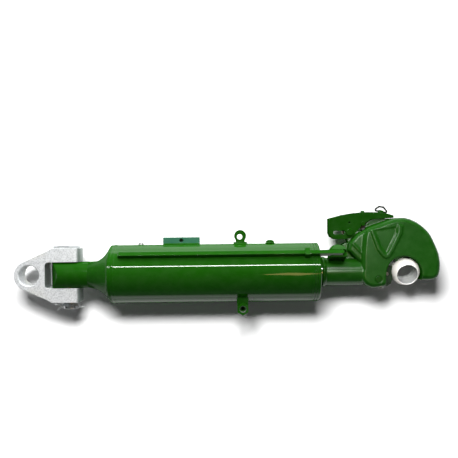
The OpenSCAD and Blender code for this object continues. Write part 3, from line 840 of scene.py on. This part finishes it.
def smooth_group() -> bpy.types.NodeTree:
    """Geometry nodes that join the loose triangles and keep only true edges sharp.

    Returns:
        The node group.
    """
    found = bpy.data.node_groups.get("joined_and_smooth")
    if found is not None:
        return found
    tree = bpy.data.node_groups.new("joined_and_smooth", "GeometryNodeTree")
    tree.interface.new_socket("Geometry", in_out="INPUT", socket_type="NodeSocketGeometry")
    tree.interface.new_socket("Geometry", in_out="OUTPUT", socket_type="NodeSocketGeometry")
    g = Graph(tree)
    mesh = g.node("NodeGroupInput")
    mesh = g.node("GeometryNodeRemoveAttribute", None, {"Geometry": mesh, "Name": "custom_normal"})
    mesh = g.node("GeometryNodeMergeByDistance", None, {"Geometry": mesh, "Distance": 2e-6})
    mesh = g.node("GeometryNodeSetShadeSmooth", {"domain": "FACE"}, {"Geometry": mesh, "Shade Smooth": True})
    angle = g.node("GeometryNodeInputMeshEdgeAngle")
    keen = g.node("FunctionNodeCompare", {"operation": "GREATER_THAN"}, {0: angle, 1: math.radians(30)})
    mesh = g.node("GeometryNodeSetShadeSmooth", {"domain": "EDGE"},
                  {"Geometry": mesh, "Selection": keen, "Shade Smooth": False})
    g.node("NodeGroupOutput", None, {0: mesh})
    return tree


class Edge(Enum):
    """How the edges of a CAD node are broken."""

    CRISP = 0.0
    FINE = 0.35
    BROKEN = 0.7


def dress(node: str, finish: Finish, edge: Edge = Edge.FINE) -> bpy.types.Object:
    """Gives a CAD node its finish and its broken edges.

    Args:
        node: Name of the CAD node.
        finish: Its finish.
        edge: How its edges are broken.

    Returns:
        The node's object.
    """
    part = NODES[node]
    for place in part.material_slots:
        place.link = "OBJECT"
        place.material = finish.material()
    joined = part.modifiers.new("joined", "NODES")
    joined.node_group = smooth_group()
    if edge is not Edge.CRISP:
        flat = part.modifiers.new("flats", "DECIMATE")
        flat.decimate_type = "DISSOLVE"
        flat.angle_limit = math.radians(0.6)
        bevel = part.modifiers.new("broken_edges", "BEVEL")
        bevel.width = edge.value * MM
        bevel.segments = 2
        bevel.limit_method = "ANGLE"
        bevel.angle_limit = math.radians(32)
        bevel.use_clamp_overlap = False
        bevel.harden_normals = True
    LOG.info("%s: %s, edges %s", node, finish.name, edge.name.lower())
    return part


# Sub-assemblies

@dataclass
class Barrel:
    """Cylinder body with its ports, tabs and guide clip."""

    radius: float = 65.0
    weld_x: float = 190.0
    tab_x: float = 337.0
    lug_x: float = 469.0
    port: Point = (472.5, -76.3, 26.0)
    steps: int = 288

    def build(self) -> None:
        """Dresses the CAD nodes and adds the new pieces."""
        self.dress_nodes()
        self.base_bead()
        self.saddle_bead()
        self.tab_beads()
        self.port_thread()

    def dress_nodes(self) -> None:
        """Gives the body's nodes their finishes."""
        for node in ("barrel_tube", "gland_head", "oil_pipe", "port_saddle", "elbow_fitting", "bar_clip"):
            dress(node, GREEN, Edge.FINE)
        dress("neck_forging", GREEN_FORGED, Edge.BROKEN)
        for node in ("ring_lug", "rod_end_boss", "top_screw"):
            dress(node, GREEN_FORGED, Edge.BROKEN)
        dress("hose_tab", TEAL, Edge.BROKEN)
        dress("base_port_plug", BRIGHT)
        dress("grease_nipple", BRIGHT)
        dress("neck_bush", BRONZE)
        for node in ("gland_oring", "rod_wiper"):
            dress(node, NITRILE, Edge.CRISP)
        dress("rod_seal", URETHANE)
        dress("rod_guide_ring", GUIDE)

    def base_bead(self) -> None:
        """Turned-down weld bead where the neck forging meets the tube."""
        r = self.radius
        form = Form()
        form.lathe([(self.weld_x - 4, r - 0.4), (self.weld_x - 3.9, r + 0.05), (self.weld_x - 2.8, r + 0.3),
                    (self.weld_x - 1.4, r + 0.46), (self.weld_x, r + 0.52), (self.weld_x + 1.4, r + 0.46),
                    (self.weld_x + 2.8, r + 0.3), (self.weld_x + 3.9, r + 0.05),
                    (self.weld_x + 4, r - 0.4)], self.steps)

        def ripple(co: Vector) -> Vector:
            """Scales of the weld, drawn back at its edges."""
            across = (co.x - self.weld_x) / 4.0
            angle = math.atan2(co.y, co.z)
            wave = math.sin(angle * 150.0 + 2.2 * across * across)
            share = max(0.0, 1 - across * across)
            rise = (0.14 * wave + 0.18 * noise.noise(co * 0.21)) * share
            if math.hypot(co.y, co.z) < self.radius:
                rise = 0.0
            return Vector((0.25 * noise.noise(co * 0.13) * abs(across), 0, 0)) + \
                Vector((0, co.y, co.z)).normalized() * rise
        form.ripple(ripple)
        form.piece("base_weld_bead", GREEN_WELD, "barrel", "green_paint", ["base_weld"], 60)

    def on_round(self, x: float, y: float, side: int = 1) -> Vector:
        """Point on the tube above or below a height.

        Args:
            x: Place along the tube.
            y: Height, in the frame's Z.
            side: Sign of the frame's Y.

        Returns:
            The point on the tube's surface.
        """
        return Vector((x, side * math.sqrt(max(0.0, self.radius ** 2 - y * y)), y))

    def saddle_bead(self) -> None:
        """Weld round the port saddle."""
        low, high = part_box("port_saddle")
        x0, x1, z0, z1 = low.x / MM, high.x / MM, low.z / MM, high.z / MM
        form = Form()
        top = [Vector((x, -math.sqrt(self.radius ** 2 - z1 ** 2), z1)) for x in (x0 - 0.5, x1 + 0.5)]
        weld_bead(form, top, (0, -1, 0), -3.4, 3.4)
        for x, way in ((x0, 1), (x1, -1)):
            side = [self.on_round(x, z1 - (z1 - z0) * i / 16, -1) for i in range(17)]
            weld_bead(form, side, (0, -1, 0), 3.2 * way, 3.2)
        form.piece("saddle_weld_bead", GREEN_WELD, "barrel", "green_paint", sharp=70)

    def tab_beads(self) -> None:
        """Welds along the feet of the hose tab and the ring lug."""
        form = Form()
        for x, half, z, leg in ((self.tab_x, 41, -12, 3.0), (self.tab_x, 41, 4, 3.0),
                                (self.lug_x, 15, -9, 2.8), (self.lug_x, 15, 9, 2.8)):
            y = math.sqrt(self.radius ** 2 - z * z)
            line = [Vector((x - half + 1, y, z)), Vector((x + half - 1, y, z))]
            weld_bead(form, line, (0, 1, 0), leg * (1 if z < 0 else -1), leg)
        form.piece("tab_weld_beads", GREEN_WELD, "barrel", "green_paint", sharp=70)

    def port_thread(self) -> None:
        """Thread in the mouth of the hose port."""
        px, py, pz = self.port
        centre = Vector((px, py, pz + 14.6))
        turns, steps, pitch, radius = 5, 48, 1.8, 7.0
        frames = []
        for i in range(turns * steps + 1):
            a = math.tau * i / steps
            at = centre + Vector((radius * math.cos(a), radius * math.sin(a), pitch * i / steps))
            inward = Vector((-math.cos(a), -math.sin(a), 0))
            ahead = Vector((-math.sin(a), math.cos(a), 0))
            frames.append(facing(at, inward, ahead))
        form = Form().sweep([(-0.3, -0.75), (0.62, -0.12), (0.62, 0.12), (-0.3, 0.75)], frames)
        form.piece("hose_port_thread", BRIGHT, "barrel", "bright_steel", sharp=25)


@dataclass
class Yoke:
    """Zinc-plated fork with its pivot pin, nut and split pin."""

    pivot_x: float = 88.0
    arm: float = 60.5
    stud: float = 12.0

    def build(self) -> None:
        """Dresses the CAD nodes and adds the new pieces."""
        dress("yoke_fork", ZINC, Edge.BROKEN)
        dress("pivot_pin", ZINC_PIN, Edge.BROKEN)
        dress("pin_washer", ZINC_DARK)
        dress("castle_nut", ZINC_DARK, Edge.FINE)
        self.split_pin()
        self.stud_thread()

    def split_pin(self) -> None:
        """Half-round wire folded to an eye, its two legs bent apart."""
        y = -self.arm - 11
        cx = self.pivot_x
        eye = Vector((cx + self.stud + 12.5, y, 0))
        path = [Vector((cx - 36.5, y + 4.6, -3.4)), Vector((cx - 32, y + 6.8, 1.4)),
                Vector((cx - 27, y + 3.8, 1.6)), Vector((cx - 21.5, y + 0.2, 1.0))]
        path += [Vector((cx + 14, y, 1.0))]
        for i in range(17):
            a = math.radians(150 - 300 * i / 16)
            path.append(eye + Vector((4.6 * math.cos(a), 0, 4.2 * math.sin(a))))
        path += [Vector((cx + 14, y, -1.0)), Vector((cx - 21.5, y - 0.2, -1.0)),
                 Vector((cx - 26, y - 3.6, -1.4)), Vector((cx - 31.5, y - 8.2, -2.4))]
        smooth = bent(path, 2.2, 4)
        form = Form().sweep([(1.5 * x, 0.92 * z) for x, z in disc(1.0)], along(smooth))
        form.piece("split_pin_wire", WIRE_ZINC, "yoke", "bright_steel", ["split_pin"], 60)

    def stud_thread(self) -> None:
        """Thread that shows at the stud's end beyond the nut."""
        y0 = -self.arm - 15.2
        steps, pitch = 48, 1.0
        frames = []
        for i in range(steps + 1):
            a = math.tau * i / steps
            at = Vector((self.pivot_x + self.stud * math.cos(a), y0 + pitch * i / steps,
                         self.stud * math.sin(a)))
            out = Vector((math.cos(a), 0, math.sin(a)))
            ahead = Vector((-math.sin(a), 0, math.cos(a)))
            frames.append(facing(at, out, ahead))
        form = Form().sweep([(-0.5, -0.45), (0.18, -0.05), (0.18, 0.05), (-0.5, 0.45)], frames)
        form.piece("stud_thread", ZINC_DARK, "yoke", "zinc_plate", sharp=25)


@dataclass
class Rod:
    """Piston rod, hook forging and key bar."""

    shank_x: float = 648.0
    shank_r: float = 31.0
    voxel: float = 1.2

    def build(self) -> None:
        """Dresses the CAD nodes and adds the new pieces."""
        dress("piston_rod", CHROME)
        for node in ("piston", "piston_nut"):
            dress(node, TURNED)
        dress("piston_seal", URETHANE)
        dress("piston_rings", GUIDE)
        dress("stem_oring", NITRILE, Edge.CRISP)
        dress("key_bar", GREEN, Edge.BROKEN)
        dress("bar_lug", GREEN_FORGED, Edge.BROKEN)
        dress("lever_pin", GREEN_LEVER_SHADED, Edge.BROKEN)
        dress("pawl_pin", GREEN_HOOK_SHADED, Edge.BROKEN)
        dress("stop_screw", BRIGHT)
        self.hook()
        self.shank_bead()

    def hook(self) -> None:
        """Softens the hook forging's edges and corners."""
        part = dress("hook_forging", GREEN_HOOK_SHADED, Edge.CRISP)
        skin = part.modifiers.new("forged_skin", "REMESH")
        skin.mode = "VOXEL"
        skin.voxel_size = self.voxel * MM
        skin.use_smooth_shade = True
        soft = part.modifiers.new("forged_corners", "SMOOTH")
        soft.factor = 0.5
        soft.iterations = 4

    def shank_bead(self) -> None:
        """Weld bead between the rod and the hook's shank."""
        x, r = self.shank_x, self.shank_r
        form = Form()
        form.lathe([(x + 0.9, r - 0.4), (x + 1.0, r + 0.1), (x + 2.0, r + 1.3), (x + 3.5, r + 2.1),
                    (x + 5.0, r + 2.35), (x + 6.6, r + 2.2), (x + 8.2, r + 1.7), (x + 9.8, r + 0.9),
                    (x + 11.0, r + 0.1), (x + 11.1, r - 0.4)], 216)

        def ripple(co: Vector) -> Vector:
            """Scales of the weld, drawn back at its edges."""
            across = (co.x - x - 6.0) / 5.0
            angle = math.atan2(co.y, co.z)
            wave = math.sin(angle * 54.0 + 2.6 * across * across)
            share = max(0.0, 1 - across * across)
            outside = math.hypot(co.y, co.z) > r
            rise = (0.22 * wave + 0.3 * noise.noise(co * 0.19)) * share * outside
            return Vector((0.3 * noise.noise(co * 0.17), 0, 0)) + Vector((0, co.y, co.z)).normalized() * rise
        form.ripple(ripple)
        form.piece("shank_weld_bead", GREEN_WELD, "rod", "green_paint", ["shank_weld"], 60)


@dataclass
class LatchGear:
    """Release lever, its spring, link, pawl and rope ring."""

    pivot: Point = (712.0, 88.0, 0.0)
    coil_r: float = 12.4
    wire_r: float = 1.25

    def build(self) -> None:
        """Dresses the CAD nodes and adds the new pieces."""
        dress("release_lever", GREEN_LEVER_SHADED, Edge.BROKEN)
        dress("roof_rivet", GREEN_LEVER_SHADED, Edge.FINE)
        dress("lever_link_pin", GREEN_LEVER_SHADED, Edge.BROKEN)
        dress("latch_link", LINK_STEEL, Edge.BROKEN)
        dress("latch_pawl", DARK, Edge.BROKEN)
        dress("pawl_link_pin", PIN_STEEL)
        dress("rope_ring", BLACK, Edge.CRISP)
        self.spring()

    def spring(self) -> None:
        """Torsion spring wound round the lever's pivot, with its two legs."""
        px, py, _ = self.pivot
        r, half, turns, steps = self.coil_r, 4.8, 3.9, 30
        start = math.radians(65)
        count = int(turns * steps)
        coil = [Vector((px + r * math.cos(start + math.tau * i / steps),
                        py + r * math.sin(start + math.tau * i / steps),
                        half - 2 * half * i / count)) for i in range(count + 1)]
        coil.reverse()
        tail = [Vector((px, py, half)) + Vector(p)
                for p in ((-6, 15.6, 0.2), (-16, 20.2, 0.4), (-33, 28.0, 0.4))]
        last_angle = start + math.tau * count / steps
        last = Vector((-math.sin(last_angle), math.cos(last_angle), 0)) * 8
        path = [coil[0] + last, coil[0] + last * 0.5] + coil + tail
        form = Form().sweep(disc(self.wire_r), along(path))
        form.piece("torsion_spring", SPRING, "lever", "plain_steel", ["lever_spring"], 60)


@dataclass
class Ball:
    """Loose ball seated in the hook."""

    def build(self) -> None:
        """Dresses the ball."""
        dress("hook_ball", BALL, Edge.FINE)


class Lights(Enum):
    """What a lamp lights."""

    PART = ("floor", "EXCLUDE")
    FLOOR = ("floor", "INCLUDE")
    BALL = ("hook_ball", "INCLUDE")
    HOOK = ("hook_forging", "INCLUDE")


@dataclass
class Lamp:
    """One soft light of the studio."""

    name: str
    at: Point
    aim: Point
    size: tuple[float, float]
    power: float
    colour: Colour = (1.0, 1.0, 1.0)
    shines: bool = True
    lights: Lights = Lights.PART


@dataclass
class Studio:
    """Floor, lights, sky and camera."""

    floor_z: float = -0.0657
    floor_radius: float = 14.0
    middle_x: float = 0.42
    camera_at: Point = (0.4443, 0.0984, 1.450)
    camera_turn: float = -0.0119
    lens: float = 50.70
    sensor: float = 36.0
    ambient: float = 0.06
    glow: float = 0.012
    far: tuple[float, float] = (0.26, 0.50)
    far_glow: float = 0.85
    lamps: list[Lamp] = field(default_factory=lambda: [
        Lamp("strip", (0.40, 0.80, 1.32), (0.40, 0.0, 0.065), (1.15, 0.065), 16.5),
        Lamp("wall", (0.40, 1.45, 0.45), (0.42, 0.0, 0.0), (2.4, 0.9), 47.0, shines=False),
        Lamp("hook_key", (0.78, 0.24, 1.45), (0.74, 0.05, 0.03), (0.30, 0.30), 8.0, (0.84, 1.0, 0.80),
             lights=Lights.HOOK),
        Lamp("warm", (0.72, -0.10, 1.45), (0.58, 0.0, 0.065), (0.2, 0.2), 0.8, (1.0, 0.62, 0.25)),
        Lamp("shadow", (0.28, 0.78, 1.35), (0.44, 0.0, -0.065), (0.75, 0.42), 61.0, shines=False,
             lights=Lights.FLOOR),
        Lamp("ball_key", (0.66, 0.42, 1.10), (0.8388, 0.0, 0.0), (0.4, 0.4), 15.0, lights=Lights.BALL),
    ])

    def build(self) -> None:
        """Makes the whole studio."""
        self.camera()
        floor = self.floor()
        self.sky()
        for lamp in self.lamps:
            self.lamp(lamp, floor)
        bpy.context.scene.view_settings.view_transform = "Standard"

    def camera(self) -> None:
        """Camera straight above the link."""
        data = bpy.data.cameras.new("camera")
        data.lens = self.lens
        data.sensor_width = self.sensor
        data.clip_start, data.clip_end = 0.05, 50.0
        made = bpy.data.objects.new("camera", data)
        made.location = self.camera_at
        made.rotation_euler = (0, 0, self.camera_turn)
        bpy.context.scene.collection.objects.link(made)
        bpy.context.scene.camera = made

    def floor(self) -> bpy.types.Object:
        """Pale floor that keeps the link's soft shadow and stays white beyond the lamp's reach.

        Returns:
            The floor.
        """
        bm = bmesh.new()
        bmesh.ops.create_circle(bm, cap_ends=True, segments=96, radius=self.floor_radius)
        bmesh.ops.translate(bm, vec=(self.middle_x, 0, self.floor_z), verts=bm.verts)
        mesh = bpy.data.meshes.new("floor")
        bm.to_mesh(mesh)
        bm.free()
        made = bpy.data.objects.new("floor", mesh)
        bpy.context.scene.collection.objects.link(made)
        paper = bpy.data.materials.new("pale_floor")
        paper.use_nodes = True
        g = Graph(paper.node_tree)
        path = g.node("ShaderNodeLightPath", out="Is Camera Ray")
        glossy = Sock(g, path.socket.node.outputs["Is Glossy Ray"])
        through = Sock(g, path.socket.node.outputs["Is Transmission Ray"])
        seen = path.maths("MAXIMUM", path, glossy)
        seen = seen.maths("MAXIMUM", seen, through)
        matt = g.node("ShaderNodeBsdfDiffuse", None, {"Color": (0.80, 0.80, 0.80)})
        x, y, _ = g.parts(g.place())
        off = x - self.middle_x
        far = (off * off + y * y * 2.0).step(*self.far)
        strength = seen * (far * self.far_glow + self.glow)
        glow = g.node("ShaderNodeEmission", None, {"Color": (1.0, 1.0, 1.0), "Strength": strength})
        both = g.node("ShaderNodeAddShader", None, {0: matt, 1: glow})
        g.node("ShaderNodeOutputMaterial", None, {"Surface": both})
        mesh.materials.append(paper)
        return made

    def sky(self) -> None:
        """Room light: white to the camera, dark overhead and pale at the horizon in reflections."""
        world = bpy.data.worlds.new("room")
        world.use_nodes = True
        bpy.context.scene.world = world
        g = Graph(world.node_tree)
        path = g.node("ShaderNodeLightPath", out="Is Camera Ray")
        outputs = path.socket.node.outputs
        camera, glossy = Sock(g, outputs["Is Camera Ray"]), Sock(g, outputs["Is Glossy Ray"])
        height = g.parts(g.node("ShaderNodeTexCoord", out="Generated"))[2]
        room = g.node("ShaderNodeValToRGB", {"stops": [
            (0.0, (0.22, 0.25, 0.24)), (0.24, (0.16, 0.19, 0.18)), (0.40, (0.07, 0.09, 0.09)),
            (0.80, (0.035, 0.05, 0.05)), (1.0, (0.03, 0.035, 0.03))]}, {0: height})
        colour = g.blend(glossy, (self.ambient,) * 3, room)
        colour = g.blend(camera, colour, (1.0, 1.0, 1.0))
        light = g.node("ShaderNodeBackground", None, {"Color": colour, "Strength": 1.0})
        g.node("ShaderNodeOutputWorld", None, {"Surface": light})

    def lamp(self, lamp: Lamp, floor: bpy.types.Object) -> None:
        """Adds one area light.

        Args:
            lamp: The light.
            floor: The floor, which a light may leave out or light alone.
        """
        data = bpy.data.lights.new(lamp.name, "AREA")
        data.shape = "RECTANGLE"
        data.size, data.size_y = lamp.size
        data.energy = lamp.power
        data.color = lamp.colour
        made = bpy.data.objects.new(lamp.name, data)
        made.location = lamp.at
        made.rotation_euler = (Vector(lamp.aim) - Vector(lamp.at)).to_track_quat("-Z", "Y").to_euler()
        made.visible_glossy = lamp.shines
        made.visible_camera = False
        bpy.context.scene.collection.objects.link(made)
        target, state = lamp.lights.value
        chosen = bpy.data.collections.new(lamp.name + "_receivers")
        chosen.objects.link(NODES.get(target, floor))
        made.light_linking.receiver_collection = chosen
        chosen.collection_objects[0].light_linking.link_state = state
        LOG.info("lamp %s: %.1f W", lamp.name, lamp.power)


def main() -> None:
    """Builds the sub-assemblies in order."""
    logging.basicConfig(level=logging.INFO, format="%(name)s %(message)s")
    Studio().build()
    for assembly in (Barrel(), Yoke(), Rod(), LatchGear(), Ball()):
        LOG.info("%s", type(assembly).__name__)
        assembly.build()


if __name__ == "__main__":
    main()
